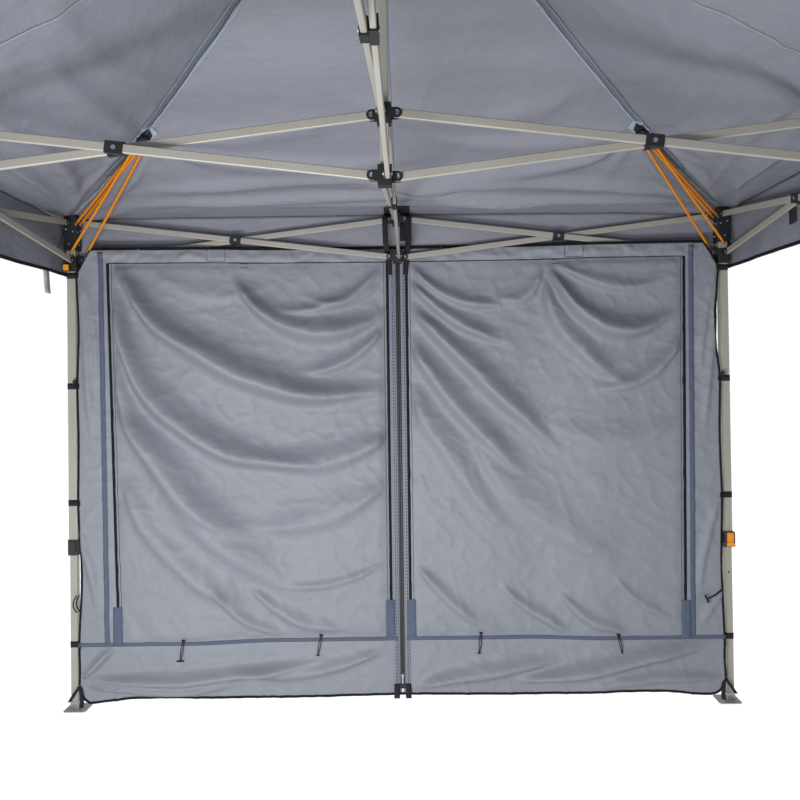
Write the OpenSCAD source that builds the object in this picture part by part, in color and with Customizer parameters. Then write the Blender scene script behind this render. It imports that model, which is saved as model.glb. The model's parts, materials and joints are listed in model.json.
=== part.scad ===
// Folding canopy shelter: four telescopic legs, a scissor truss round the sides and across
// to a centre hub, a concave pyramid roof with valances, and one zipped side wall.
// +X right, +Y to the side that carries the wall, +Z up, origin on the floor at the centre.

/* [Footprint] */
// Distance between the centres of two neighbouring legs
leg_spacing = 2950; // [2400:10:3600]
// How far the canopy's edge stands outside the centre of a leg
canopy_overhang = 50; // [42:1:80]

/* [Roof] */
// Height of the canopy's edge above the floor
eave_z = 2215; // [1900:5:2600]
// Rise of the roof from its edge to its peak
roof_rise = 845; // [600:5:1100]
// How hollow the roof's slope is: 1 is a straight pyramid
roof_power = 1.3; // [1:0.05:1.6]
// Height of the valance that hangs from the edge
valance_h = 265; // [150:5:350]
// Thickness of the canopy and wall cloth, laid up with its seams
cloth_t = 1; // [0.6:0.1:2]

/* [Truss] */
// Height of the upper row of pivots below the canopy's edge
truss_below_eave = 32; // [32:1:60]
// Height between the upper and the lower row of pivots when open
truss_drop = 169; // [120:1:260]
// Height of a truss bar's section
bar_h = 25; // [18:1:28]
// Thickness of a truss bar's section
bar_t = 13; // [10:1:14]
// Wall of a truss bar
bar_wall = 1.2; // [0.8:0.1:2]
// Gap between the two bars of a crossing pair
bar_gap = 4; // [3:0.5:6]
// Radius of the rivets that the bars turn on
rivet_r = 4; // [3:0.5:5]
// Pivot distance from the middle of a hub or a mid bracket
hub_reach = 35; // [34:1:45]
// Pivot distance from the middle of a leg, and of a mid bracket towards the hub
corner_reach = 45; // [45:1:60]
// Length of the sleeve at a crossing
sleeve_len = 50; // [30:1:70]

/* [Brackets] */
// Width of a hub's and a mid bracket's square core
core_w = 39; // [36:1:39]
// Height of that core
core_h = 57; // [40:1:70]
// Thickness of a bracket's ears
ear_t = 4; // [3:0.5:5]

/* [Legs] */
// Width of the outer leg tube
outer_leg_w = 38; // [34:1:44]
// Wall of the outer leg tube
outer_leg_wall = 1.5; // [1:0.1:3]
// Width of the inner leg tube
inner_leg_w = 31; // [26:1:34]
// Wall of the inner leg tube
inner_leg_wall = 1.5; // [1:0.1:3]
// Height of the lower end of the outer leg
outer_leg_z = 690; // [500:5:900]
// How far the inner leg reaches up inside the outer leg
leg_overlap = 230; // [150:5:400]
// Height of the collar at the lower end of the outer leg
collar_h = 65; // [50:1:80]
// Width of the foot plate
foot_w = 100; // [80:1:130]
// Thickness of the foot plate
foot_t = 4; // [3:0.5:6]
// Radius of the peg hole in each foot plate
peg_hole_r = 5; // [4:0.5:8]

/* [Peak] */
// Width of the peak pole
pole_w = 25; // [18:1:27]
// Wall of the peak pole
pole_wall = 1.5; // [1:0.1:3]

/* [Cords] */
// Diameter of the elastic tension cords
cord_d = 9; // [5:1:12]

/* [Wall] */
// Height of the wall's lower hem above the floor
wall_bottom_z = 30; // [10:5:100]
// Height of the wall's upper edge below the upper pivots
wall_below_truss = 123; // [120:1:180]
// Width of the wall's cut upper outer corner
wall_corner_w = 60; // [40:1:90]
// Height of that cut
wall_corner_h = 110; // [90:1:160]

/* [Hidden] */
SIDES = ["right", "back", "left", "front"];
CORNERS = ["back_right", "back_left", "front_left", "front_right"];

// clearances
fit = 0.1;        // between a rivet or a fixed tube and its hole
run = 0.3;        // between faces that turn past each other
slide_fit = 0.75; // between a leg and what slides along it
$fn = 32;

// truss
half_spacing = leg_spacing / 2;
top_z = eave_z - truss_below_eave;
low_z = top_z - truss_drop;
span = half_spacing - hub_reach - corner_reach;
bar_len = sqrt(span * span + truss_drop * truss_drop);
tilt = atan2(truss_drop, span);
bar_plane = (bar_gap + bar_t) / 2;
bar_end = 8;
bar_corner_r = 3;
sleeve_wall = 3;
sleeve_h = bar_h + 3 * sleeve_wall;
plug_t = 2.5;
plug_in = 2;
rivet_head_r = 6.5;
rivet_head_t = 2;
ear_in = bar_t / 2 + run;
ear_out = ear_in + ear_t;
ear_r = bar_h / 2 + 1.5;
crossing_z = top_z - truss_drop / 2;

// legs
outer_leg_top = top_z + 10;
corner_w = 58;
corner_top = eave_z - 3;
corner_skirt = 152;
slider_w = 52;
slider_above = 16;
slider_below = 50;
button_face = 10;
button_w = 24;
button_h = 26;
button_y = 14;
button_drop = 34;
button_out = 6;
button_travel = 5;
collar_w = outer_leg_w + 8;
cheek_t = 3;
cheek_out = 22;
lever_w = 33;
lever_r = 7;
lever_pin_r = 2.5;
lever_axis_y = collar_w / 2 + lever_r + 3;
lever_axis_z = outer_leg_z + collar_h - 10;
inner_leg_top = outer_leg_z + leg_overlap;
foot_socket_h = 30;
foot_shift = 18;
peg_inset = 16;
lock_hole_r = 4;
lock_hole_step = 152;

// canopy and cords
canopy_half = half_spacing + canopy_overhang;
gore_gap = 0.15;
roof_steps = 12;
patch_x = 990;
cord_spread = 40;
cord_top_z = roof_z(patch_x + 1.5 * cord_spread) - 18;

// wall
wall_top_z = top_z - wall_below_truss;
wall_edge_x = half_spacing - 45;
wall_edge_y = half_spacing - 35;
wall_mid_y = half_spacing + 37;
wall_zip_gap = 4;

function roof_z(x) = eave_z + roof_rise * pow(1 - x / canopy_half, roof_power);

// ---- small shapes ----

module square_bar(w, h, r) {
    translate([-w / 2 + r, -h / 2, 0]) square([w - 2 * r, h]);
    translate([-w / 2, -h / 2 + r, 0]) square([w, h - 2 * r]);
    for (i = [-1, 1]) for (j = [-1, 1]) translate([i * (w / 2 - r), j * (h / 2 - r)]) circle(r = r);
}

module square_tube(w, wall, length, r = 3) {
    linear_extrude(length) difference() {
        square_bar(w, w, r);
        square_bar(w - 2 * wall, w - 2 * wall, r - 1);
    }
}

module across(r, y0, y1) {
    translate([0, y1, 0]) rotate([90, 0, 0]) cylinder(r = r, h = y1 - y0);
}

// ---- truss bars: along +X from one pivot at the origin to the other ----

// out is the side, -1 or 1 along Y, that faces away from the crossing partner
module bar_tube(out) {
    color("#b4b0a6") difference() {
        translate([-bar_end, 0, 0]) rotate([90, 0, 90]) linear_extrude(bar_len + 2 * bar_end) difference() {
            square_bar(bar_t, bar_h, bar_corner_r);
            square_bar(bar_t - 2 * bar_wall, bar_h - 2 * bar_wall, bar_corner_r - 1);
        }
        for (x = [0, bar_len / 2, bar_len]) translate([x, 0, 0]) across(rivet_r + fit, -bar_t, bar_t);
    }
}

module end_plug() {
    color("#1c1c1e") {
        translate([-bar_end - plug_t, 0, 0]) rotate([90, 0, 90]) linear_extrude(plug_t - fit)
            square_bar(bar_t, bar_h - 8, bar_corner_r);
        translate([-bar_end - plug_t, 0, 0]) rotate([90, 0, 90]) linear_extrude(plug_t + plug_in)
            square_bar(bar_t - 2 * bar_wall - 2 * fit, bar_h - 2 * bar_wall - 8, 1);
    }
}

module crossing_sleeve(out) {
    inner = bar_plane - fit;
    outer = bar_t / 2 + sleeve_wall;
    y0 = out > 0 ? -inner : -outer;
    color("#1c1c1e") difference() {
        translate([bar_len / 2 - sleeve_len / 2, y0, -sleeve_h / 2]) cube([sleeve_len, inner + outer, sleeve_h]);
        translate([0, 0, 0]) rotate([90, 0, 90]) linear_extrude(bar_len)
            square_bar(bar_t + 2 * fit, bar_h + 2 * fit, bar_corner_r);
        translate([bar_len / 2, 0, 0]) across(rivet_r + fit, -2 * bar_t, 2 * bar_t);
    }
}

module rivet(y0, y1) {
    color("#8d9aa8") {
        across(rivet_r, y0, y1);
        across(rivet_head_r, y0 - rivet_head_t, y0);
        across(rivet_head_r, y1, y1 + rivet_head_t);
    }
}

module truss_bar(out) {
    bar_tube(out);
    end_plug();
    translate([bar_len, 0, 0]) mirror([1, 0, 0]) end_plug();
    crossing_sleeve(out);
    for (x = [0, bar_len]) translate([x, 0, 0]) rivet(-ear_out - fit, ear_out + fit);
}

// the falling bar of a pair also carries the rivet of the crossing
module falling_bar() {
    far = bar_plane * 2 + bar_t / 2 + sleeve_wall + fit;
    near = bar_t / 2 + sleeve_wall + fit;
    translate([hub_reach, -bar_plane, top_z]) rotate([0, tilt, 0]) {
        truss_bar(-1);
        translate([bar_len / 2, 0, 0]) rivet(-near, far);
    }
}

module rising_bar() {
    translate([hub_reach, bar_plane, low_z]) rotate([0, -tilt, 0]) truss_bar(1);
}

// a spoke runs from the hub to the middle of side k
module on_spoke(k) {
    rotate([0, 0, 90 * k]) children();
}

// a side bar runs from the middle of side k to one of its corners: 1 anticlockwise, 2 clockwise
module on_side(k, half) {
    rotate([0, 0, 90 * k]) translate([half_spacing, 0, 0]) rotate([0, 0, half == 1 ? 90 : -90]) children();
}

module on_corner(k) {
    rotate([0, 0, 90 * k]) translate([half_spacing, half_spacing, 0]) children();
}

// ---- brackets ----

// two ears along +X that hold a bar end in the plane y = row * bar_plane
module lug(reach, row, start) {
    for (e = [-1, 1]) {
        y0 = row * bar_plane + (e > 0 ? ear_in : -ear_out);
        difference() {
            union() {
                translate([start, y0, -ear_r]) cube([reach - start, ear_t, 2 * ear_r]);
                translate([reach, 0, 0]) across(ear_r, y0, y0 + ear_t);
            }
            translate([reach, 0, 0]) across(rivet_r + fit, y0 - 1, y0 + ear_t + 1);
        }
    }
}

module core_block() {
    translate([0, 0, -core_h / 2]) linear_extrude(core_h) square_bar(core_w, core_w, 4);
}

module hub_top() {
    color("#1c1c1e") translate([0, 0, top_z]) difference() {
        union() {
            core_block();
            for (k = [0:3]) rotate([0, 0, 90 * k]) lug(hub_reach, -1, core_w / 2 - 2);
        }
        translate([0, 0, -core_h]) linear_extrude(2 * core_h) square_bar(pole_w + 2 * slide_fit, pole_w + 2 * slide_fit, 3);
    }
}

module hub_low() {
    seat = core_h / 2 - 6;
    color("#1c1c1e") translate([0, 0, low_z]) difference() {
        union() {
            core_block();
            for (k = [0:3]) rotate([0, 0, 90 * k]) lug(hub_reach, 1, core_w / 2 - 2);
        }
        translate([0, 0, -seat]) linear_extrude(core_h) square_bar(pole_w + 2 * fit, pole_w + 2 * fit, 3);
    }
}

module peak_pole() {
    seat_z = low_z - core_h / 2 + 6 + fit;
    pole_top = roof_z(pole_w / 2) - cloth_t - 8;
    cap_h = 14;
    color("#b4b0a6") translate([0, 0, seat_z]) square_tube(pole_w, pole_wall, pole_top - cap_h - seat_z);
    color("#1c1c1e") translate([0, 0, pole_top - cap_h + fit]) linear_extrude(cap_h - fit) square_bar(pole_w, pole_w, 5);
    color("#1c1c1e") translate([0, 0, pole_top - cap_h - 20]) linear_extrude(20 + 2 * fit)
        square_bar(pole_w - 2 * pole_wall - 2 * fit, pole_w - 2 * pole_wall - 2 * fit, 2);
}

module mid_bracket(z, row) {
    color("#1c1c1e") translate([half_spacing, 0, z]) {
        core_block();
        rotate([0, 0, 180]) lug(corner_reach, row, core_w / 2 - 2);
        for (a = [90, -90]) rotate([0, 0, a]) lug(hub_reach, row, core_w / 2 - 2);
    }
}

// ---- legs: each in the frame of its own leg, inwards is -X and -Y ----

module outer_leg() {
    leg_hole = outer_leg_w + 2 * fit;
    color("#b4b0a6") translate([0, 0, outer_leg_z]) square_tube(outer_leg_w, outer_leg_wall, outer_leg_top - outer_leg_z);
    color("#1c1c1e") difference() {
        union() {
            translate([0, 0, corner_top - corner_skirt]) linear_extrude(corner_skirt) square_bar(corner_w, corner_w, 5);
            for (a = [180, -90]) translate([0, 0, top_z]) rotate([0, 0, a]) lug(corner_reach, -1, corner_w / 2 - 2);
        }
        translate([0, 0, corner_top - corner_skirt - 1]) linear_extrude(outer_leg_top + fit - corner_top + corner_skirt + 1)
            square_bar(leg_hole, leg_hole, 3);
    }
    color("#1c1c1e") leg_collar();
}

module leg_collar() {
    hole = outer_leg_w + 2 * fit;
    throat = inner_leg_w + 2 * slide_fit;
    lip = 5;
    difference() {
        union() {
            translate([0, 0, outer_leg_z - lip]) linear_extrude(collar_h + lip) square_bar(collar_w, collar_w, 4);
            for (e = [-1, 1]) translate([e * (lever_w / 2 + run) + (e < 0 ? -cheek_t : 0), -collar_w / 2 - cheek_out, outer_leg_z])
                cube([cheek_t, cheek_out + 2, collar_h]);
            translate([-collar_w / 2 - 8, -collar_w / 2 + 8, outer_leg_z + 12]) cube([10, collar_w - 16, collar_h - 20]);
        }
        translate([0, 0, outer_leg_z - fit]) linear_extrude(collar_h + 1) square_bar(hole, hole, 3);
        translate([0, 0, outer_leg_z - lip - 1]) linear_extrude(lip + 2) square_bar(throat, throat, 3);
        translate([0, -lever_axis_y, lever_axis_z]) rotate([0, 90, 0])
            cylinder(r = lever_pin_r + fit, h = 2 * collar_w, center = true);
    }
}

module leg_lever() {
    tip_z = outer_leg_z + 2;
    color("#f2981c") translate([0, -lever_axis_y, lever_axis_z]) {
        rotate([0, 90, 0]) cylinder(r = lever_pin_r, h = lever_w + 2 * (cheek_t + run), center = true);
        rotate([0, 90, 0]) cylinder(r = lever_r, h = lever_w, center = true);
        translate([-lever_w / 2, -lever_r, tip_z - lever_axis_z]) cube([lever_w, 2 * lever_r, lever_axis_z - tip_z]);
        translate([-lever_w / 2, -lever_r - 6, tip_z - lever_axis_z]) cube([lever_w, 8, 16]);
    }
}

module inner_leg() {
    hole = inner_leg_w + 2 * fit;
    color("#b4b0a6") difference() {
        translate([0, 0, foot_t + fit]) square_tube(inner_leg_w, inner_leg_wall, inner_leg_top - foot_t - fit);
        for (i = [0, 1]) translate([0, 0, outer_leg_z + collar_h / 2 - i * lock_hole_step])
            across(lock_hole_r, -inner_leg_w, 0);
    }
    color("#9fa3a8") difference() {
        union() {
            translate([-foot_shift, -foot_shift, 0]) linear_extrude(foot_t) square_bar(foot_w, foot_w, 12);
            linear_extrude(foot_socket_h) square_bar(inner_leg_w + 8, inner_leg_w + 8, 4);
        }
        translate([0, 0, foot_t]) linear_extrude(foot_socket_h) square_bar(hole, hole, 3);
        translate([-foot_shift - foot_w / 2 + peg_inset, -foot_shift - foot_w / 2 + peg_inset, -1])
            cylinder(r = peg_hole_r, h = foot_t + 2);
    }
}

module slider() {
    hole = outer_leg_w + 2 * slide_fit;
    face = slider_w / 2;
    color("#1c1c1e") difference() {
        union() {
            translate([0, 0, low_z - slider_below]) linear_extrude(slider_above + slider_below) square_bar(slider_w, slider_w, 5);
            for (a = [180, -90]) translate([0, 0, low_z]) rotate([0, 0, a]) lug(corner_reach, 1, slider_w / 2 - 2);
            translate([-face - button_face, button_y - button_w / 2 - 3, low_z - button_drop - button_h / 2 - 3])
                cube([button_face + 4, button_w + 6, button_h + 6]);
        }
        translate([0, 0, low_z - slider_below - 1]) linear_extrude(slider_above + slider_below + 2) square_bar(hole, hole, 3);
        translate([-face - button_face - 1, button_y - button_w / 2 - run, low_z - button_drop - button_h / 2 - run])
            cube([button_face + 1, button_w + 2 * run, button_h + 2 * run]);
    }
}

module slider_button() {
    face = slider_w / 2;
    back = face + button_travel + run;
    color("#f2981c") translate([-face - button_face - button_out, button_y, low_z - button_drop]) rotate([0, 90, 0])
        linear_extrude(face + button_face + button_out - back) square_bar(button_h, button_w, 5);
}

// ---- soft parts ----

module roof_gore() {
    upper = [for (i = [0:roof_steps]) let (x = canopy_half * (1 - i / roof_steps)) [x, roof_z(x)]];
    lower = [for (i = [roof_steps:-1:0]) let (x = canopy_half * (1 - i / roof_steps)) [x, roof_z(x) - cloth_t]];
    reach = canopy_half + 10;
    intersection() {
        rotate([90, 0, 0]) linear_extrude(2 * reach, center = true) polygon(concat(upper, lower));
        linear_extrude(eave_z + roof_rise + 10)
            polygon([[gore_gap, 0], [reach + gore_gap, reach], [reach + gore_gap, -reach]]);
    }
}

module valance() {
    hem = canopy_half - cloth_t - gore_gap;
    translate([canopy_half - cloth_t, -hem, eave_z - valance_h]) cube([cloth_t, 2 * hem, valance_h - cloth_t - gore_gap]);
}

module canopy() {
    color("#8f95a3") for (k = [0:3]) rotate([0, 0, 90 * k]) {
        roof_gore();
        valance();
    }
}

module straight_cord(from, to) {
    way = to - from;
    length = norm(way);
    translate(from) rotate([0, acos(way[2] / length), atan2(way[1], way[0])]) cylinder(d = cord_d, h = length);
}

module tension_cords() {
    side = cord_spread / sqrt(2);
    high = top_z - 10;
    low = low_z + 30;
    color("#f2981c") for (k = [0:3]) rotate([0, 0, 90 * k]) {
        straight_cord([patch_x + 1.5 * side, patch_x - 1.5 * side, cord_top_z], [half_spacing - 13, half_spacing - 70, low]);
        straight_cord([patch_x + 0.5 * side, patch_x - 0.5 * side, cord_top_z], [half_spacing - 37, half_spacing - 52, high]);
        straight_cord([patch_x - 0.5 * side, patch_x + 0.5 * side, cord_top_z], [half_spacing - 52, half_spacing - 37, high]);
        straight_cord([patch_x - 1.5 * side, patch_x + 1.5 * side, cord_top_z], [half_spacing - 70, half_spacing - 23, low]);
    }
}

// the right half of the wall, from the zip to the leg: behind the middle bracket and the bars
// near it, then crossing under the truss to pass inside the slider; its upper outer corner is
// cut away under the tension cords
module wall_half() {
    cross_out = wall_edge_x - 0.34 * span;
    cross_in = wall_edge_x - 0.63 * span;
    inner = [
        [wall_zip_gap / 2, wall_mid_y],
        [cross_in, wall_mid_y - 14],
        [cross_out, wall_edge_y + 12],
        [wall_edge_x, wall_edge_y]
    ];
    outer = [for (i = [3:-1:0]) inner[i] + [0, cloth_t]];
    color("#8f95a3") difference() {
        translate([0, 0, wall_bottom_z]) linear_extrude(wall_top_z - wall_bottom_z) polygon(concat(inner, outer));
        translate([wall_edge_x - wall_corner_w, 0, wall_top_z]) rotate([0, atan2(wall_corner_h, wall_corner_w), 0])
            cube([2 * wall_corner_h, leg_spacing, 2 * wall_corner_h]);
    }
}

module wall_zip_slider() {
    zip_z = wall_bottom_z + 70;
    color("#141416") {
        translate([-5, wall_mid_y - 5, zip_z]) cube([10, 3.5, 14]);
        translate([-3, wall_mid_y - 7, zip_z - 26]) cube([6, 1.5, 34]);
        translate([-3, wall_mid_y - 7, zip_z + 6]) cube([6, 4, 2]);
    }
}

// ---- the nodes ----

canopy();
tension_cords();
hub_top();
hub_low();
peak_pole();
for (k = [0:3]) {
    side = SIDES[k];
    corner = CORNERS[k];
    on_spoke(k) falling_bar();
    on_spoke(k) rising_bar();
    on_spoke(k) mid_bracket(top_z, -1);
    on_spoke(k) mid_bracket(low_z, 1);
    for (half = [1, 2]) {
        on_side(k, half) falling_bar();
        on_side(k, half) rising_bar();
    }
    on_corner(k) outer_leg();
    on_corner(k) inner_leg();
    on_corner(k) slider();
    on_corner(k) slider_button();
    on_corner(k) leg_lever();
}
mirror([1, 0, 0]) wall_half();  // wall_left
wall_half();  // wall_right
wall_zip_slider();
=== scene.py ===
import json
import math
import bmesh
import bpy
from mathutils import Matrix, Vector, noise

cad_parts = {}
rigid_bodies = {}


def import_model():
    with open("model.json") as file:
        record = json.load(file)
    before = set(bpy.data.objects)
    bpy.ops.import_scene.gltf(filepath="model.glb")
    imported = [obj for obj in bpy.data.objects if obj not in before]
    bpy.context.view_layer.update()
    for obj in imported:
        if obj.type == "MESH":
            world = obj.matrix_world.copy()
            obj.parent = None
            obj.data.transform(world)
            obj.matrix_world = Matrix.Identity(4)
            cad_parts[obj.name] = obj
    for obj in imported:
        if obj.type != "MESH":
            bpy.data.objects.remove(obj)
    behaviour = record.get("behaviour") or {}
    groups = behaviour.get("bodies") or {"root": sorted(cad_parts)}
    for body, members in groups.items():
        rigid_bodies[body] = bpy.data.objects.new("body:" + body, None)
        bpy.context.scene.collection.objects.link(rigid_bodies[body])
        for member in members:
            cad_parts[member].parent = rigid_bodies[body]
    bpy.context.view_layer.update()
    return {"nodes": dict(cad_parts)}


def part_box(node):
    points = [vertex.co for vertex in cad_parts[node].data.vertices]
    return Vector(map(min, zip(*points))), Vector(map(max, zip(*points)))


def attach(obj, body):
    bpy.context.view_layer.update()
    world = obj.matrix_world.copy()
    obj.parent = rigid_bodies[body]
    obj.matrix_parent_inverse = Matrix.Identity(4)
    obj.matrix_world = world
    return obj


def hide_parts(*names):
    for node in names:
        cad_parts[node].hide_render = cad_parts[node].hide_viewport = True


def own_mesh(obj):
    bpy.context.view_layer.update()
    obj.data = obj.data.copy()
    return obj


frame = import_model()
nodes = frame["nodes"]
scene = bpy.context.scene

# ---- camera ----
# It stands just outside the open near side at chest height and looks level across to the wall,
# with a slight roll. The small shift keeps the wall's uprights parallel in the frame.
camera_data = bpy.data.cameras.new("camera")
camera_data.sensor_width = 36
camera_data.lens = 36.4
camera_data.shift_x = -0.0192
camera_data.shift_y = -0.0414
camera = bpy.data.objects.new("camera", camera_data)
scene.collection.objects.link(camera)
pitch, roll = math.radians(0.734), math.radians(0.754)
camera.matrix_world = (
    Matrix.Translation((0.076, -2.194, 1.466))
    @ Matrix.Rotation(math.radians(90) + pitch, 4, "X")
    @ Matrix.Rotation(-roll, 4, "Z")
)
scene.camera = camera

# ---- painted steel tube ----
# The legs, bars and peak pole are square steel tube under a warm light grey hammered powder
# coat in soft blotches of two shades, with faint scuffs from the sliders.
class Wire:
    """One socket of a material, with arithmetic."""

    def __init__(self, paint, socket):
        self.paint, self.socket = paint, socket

    def maths(self, kind, first, second=None):
        values = {0: first} if second is None else {0: first, 1: second}
        return self.paint.node("ShaderNodeMath", {"operation": kind}, values)

    def __add__(self, other):
        return self.maths("ADD", self, other)

    def __mul__(self, other):
        return self.maths("MULTIPLY", self, other)

    def __sub__(self, other):
        return self.maths("SUBTRACT", self, other)

    def __rsub__(self, other):
        return self.maths("SUBTRACT", other, self)

    __radd__, __rmul__ = __add__, __mul__

    def sin(self):
        return self.maths("SINE", self)

    def above(self, edge):
        return self.maths("GREATER_THAN", self, edge)

    def size(self):
        return self.maths("ABSOLUTE", self)


class Paint:
    """A material and the nodes that are made in it."""

    def __init__(self, name, roughness=0.6, **shader):
        self.material = bpy.data.materials.new(name)
        self.material.use_nodes = True
        self.tree = self.material.node_tree
        self.shader = self.tree.nodes["Principled BSDF"]
        self.set("Roughness", roughness)
        for key, value in shader.items():
            self.set(key.replace("_", " "), value)

    def set(self, name, value):
        socket = self.shader.inputs[name]
        if isinstance(value, Wire):
            self.tree.links.new(value.socket, socket)
        else:
            socket.default_value = value

    def node(self, kind, settings=None, values=None, out=0):
        made = self.tree.nodes.new(kind)
        for key, value in (settings or {}).items():
            if key == "stops":
                ramp = made.color_ramp.elements
                while len(ramp) < len(value):
                    ramp.new(0.5)
                for stop, (place, colour) in zip(ramp, value):
                    stop.position, stop.color = place, colour
            else:
                setattr(made, key, value)
        for key, value in (values or {}).items():
            if isinstance(value, Wire):
                self.tree.links.new(value.socket, made.inputs[key])
            else:
                made.inputs[key].default_value = value
        return Wire(self, made.outputs[out])

    def place(self, scale=(1, 1, 1), uv=False):
        """Where a point is on its piece, in metres: on the cloth's own cut, or on the object."""
        coords = self.node("ShaderNodeTexCoord", out=2 if uv else 3)
        return self.node("ShaderNodeMapping", None, {"Vector": coords, "Scale": scale})

    def axis(self, place, index):
        return self.node("ShaderNodeSeparateXYZ", None, {0: place}, out=index)

    def grain(self, place, scale, detail=4.0, roughness=0.55):
        values = {"Vector": place, "Scale": scale, "Detail": detail, "Roughness": roughness}
        return self.node("ShaderNodeTexNoise", None, values)

    def mix(self, share, first, second):
        values = {0: share, 6: first, 7: second}
        return self.node("ShaderNodeMix", {"data_type": "RGBA"}, values, out=2)

    def bump(self, height, distance, strength=1.0, under=None):
        values = {"Height": height, "Distance": distance, "Strength": strength}
        if under is not None:
            values["Normal"] = under
        return self.node("ShaderNodeBump", None, values)


def shade(red, green, blue):
    """A colour by its screen values, 0 to 255."""

    def linear(c):
        return (c / 255 / 12.92) if c < 11 else ((c / 255 + 0.055) / 1.055) ** 2.4

    return (linear(red), linear(green), linear(blue), 1.0)


def powder_coat(name, pale, dark):
    paint = Paint(name, Specular_IOR_Level=0.5)
    place = paint.place()
    blotch = paint.grain(place, 6.0, 3.0)
    speck = paint.grain(place, 900.0, 2.0)
    scuff = paint.grain(paint.place((60, 60, 4)), 3.0, 5.0).above(0.66)
    colour = paint.mix(blotch, dark, pale)
    paint.set("Base Color", paint.mix(scuff * 0.25, colour, shade(120, 118, 112)))
    paint.set("Roughness", 0.34 + blotch * 0.14 + scuff * 0.1)
    paint.set("Metallic", 0.12)
    paint.set("Normal", paint.bump(speck, 0.0002, 0.35))
    return paint.material


steel = powder_coat("powder_coated_steel", shade(167, 165, 156), shade(154, 152, 143))


# ---- black nylon ----
# Brackets, sliders, sleeves, collars and plugs are moulded in black glass-filled nylon with a
# fine spark texture and a slight grey bloom.
def nylon():
    paint = Paint("black_nylon", Specular_IOR_Level=0.45)
    place = paint.place()
    bloom = paint.grain(place, 25.0, 4.0)
    texture = paint.grain(place, 1400.0, 2.0)
    paint.set("Base Color", paint.mix(bloom, shade(13, 13, 15), shade(30, 30, 33)))
    paint.set("Roughness", 0.42 + bloom * 0.2)
    paint.set("Normal", paint.bump(texture, 0.00025, 0.5))
    return paint.material


black = nylon()


# ---- zinc rivets ----
# The pivots are zinc-plated steel rivets with a blue passivate.
def zinc(name="zinc_rivet", pale=(176, 196, 214), dark=(120, 138, 156)):
    paint = Paint(name, Specular_IOR_Level=0.5)
    place = paint.place()
    cloud = paint.grain(place, 180.0, 3.0)
    paint.set("Base Color", paint.mix(cloud, shade(*dark), shade(*pale)))
    paint.set("Metallic", 0.85)
    paint.set("Roughness", 0.28 + cloud * 0.2)
    paint.set("Normal", paint.bump(cloud, 0.0003, 0.4))
    return paint.material


rivet_metal = zinc()
foot_metal = zinc("foot_plate_zinc", (190, 190, 188), (150, 151, 150))


# ---- orange plastic ----
# The slider buttons and leg levers are gloss orange acetal, so that the hand finds them.
def acetal():
    paint = Paint("orange_acetal", Specular_IOR_Level=0.5)
    place = paint.place()
    flow = paint.grain(place, 60.0, 3.0)
    paint.set("Base Color", paint.mix(flow, shade(235, 138, 12), shade(250, 164, 32)))
    paint.set("Roughness", 0.3 + flow * 0.12)
    paint.set("Normal", paint.bump(flow, 0.0002, 0.3))
    return paint.material


orange = acetal()


# ---- finishes of the frame's own pieces ----
# A bar's node holds its tube, end plugs, crossing sleeve and rivets, and a leg's node its tube,
# bracket and collar, so each face takes its finish from where it lies in the piece.
CORNERS = ["back_right", "back_left", "front_left", "front_right"]
SIDES = ["right", "back", "left", "front"]
CORNER_BRACKET = 0.058
leg_low, leg_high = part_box("back_right_outer_leg")
LEG = leg_high.x - CORNER_BRACKET / 2
TOP = sum(corner.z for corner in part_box("back_mid_bracket_top")) / 2
LOW = sum(corner.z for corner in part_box("back_mid_bracket_low")) / 2
BAR_END = 0.0185
BAR_RUN = 1.395
COS = math.cos(math.atan2(TOP - LOW, BAR_RUN))
TUBE_SIDE, TUBE_TOP = 0.0066, 0.01262
SHANK, RIVET_HEAD, HEAD_STANDS_AT = 0.0041, 0.0068, 0.0088


def dress(node, materials, choose):
    mesh = nodes[node].data
    mesh.materials.clear()
    for material in materials:
        mesh.materials.append(material)
    for face in mesh.polygons:
        face.material_index = choose(face.center)


def bar_finish(node):
    """Steel for the tube, nylon for the plugs and the sleeve, zinc for the rivets."""
    start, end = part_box(node)
    middle, span = (start + end) / 2, end - start
    along = 0 if span.x > span.y else 1
    across = 1 - along
    pivots = span[along] / 2 - BAR_END
    rising = LEAN[node]
    tube_middle = PLANE[node]

    def choose(point):
        reach = point[along] - middle[along]
        lift = point.z - middle.z - rising * reach
        side = abs(point[across] - tube_middle)
        outer = side > TUBE_SIDE or abs(lift) * COS > TUBE_TOP
        for pivot in (-pivots, 0.0, pivots):
            off = math.hypot(reach - pivot, point.z - middle.z - rising * pivot)
            if off < RIVET_HEAD and side > HEAD_STANDS_AT + (0 if pivot else 0.0008):
                return 2
            if off < SHANK:
                return 2
        if abs(reach) < 0.027 and outer:
            return 1
        if abs(reach) > pivots + 0.0079:
            return 1
        return 0

    dress(node, [steel, black, rivet_metal], choose)


LEAN, PLANE = {}, {}
for k, side in enumerate(SIDES):
    names = {f"{side}_spoke_falling": -1, f"{side}_spoke_rising": 1}
    for half in (1, 2):
        names[f"{side}_bar_falling_{half}"] = -1
        names[f"{side}_bar_rising_{half}"] = 1
    for name, slope in names.items():
        start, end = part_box(name)
        span = end - start
        along = 0 if span.x > span.y else 1
        middle = (start + end) / 2
        # towards the far end of the bar: away from the hub, or away from the side's middle
        outward = 1 if middle[along] > 0 else -1
        LEAN[name] = slope * outward * (TOP - LOW) / BAR_RUN
        heading = Vector((outward, 0, 0)) if along == 0 else Vector((0, outward, 0))
        left = Vector((-heading.y, heading.x, 0))
        base = 0.0 if "spoke" in name else (LEG if side in ("right", "back") else -LEG)
        PLANE[name] = base + slope * 0.0085 * left[1 - along]
        bar_finish(name)

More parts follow.
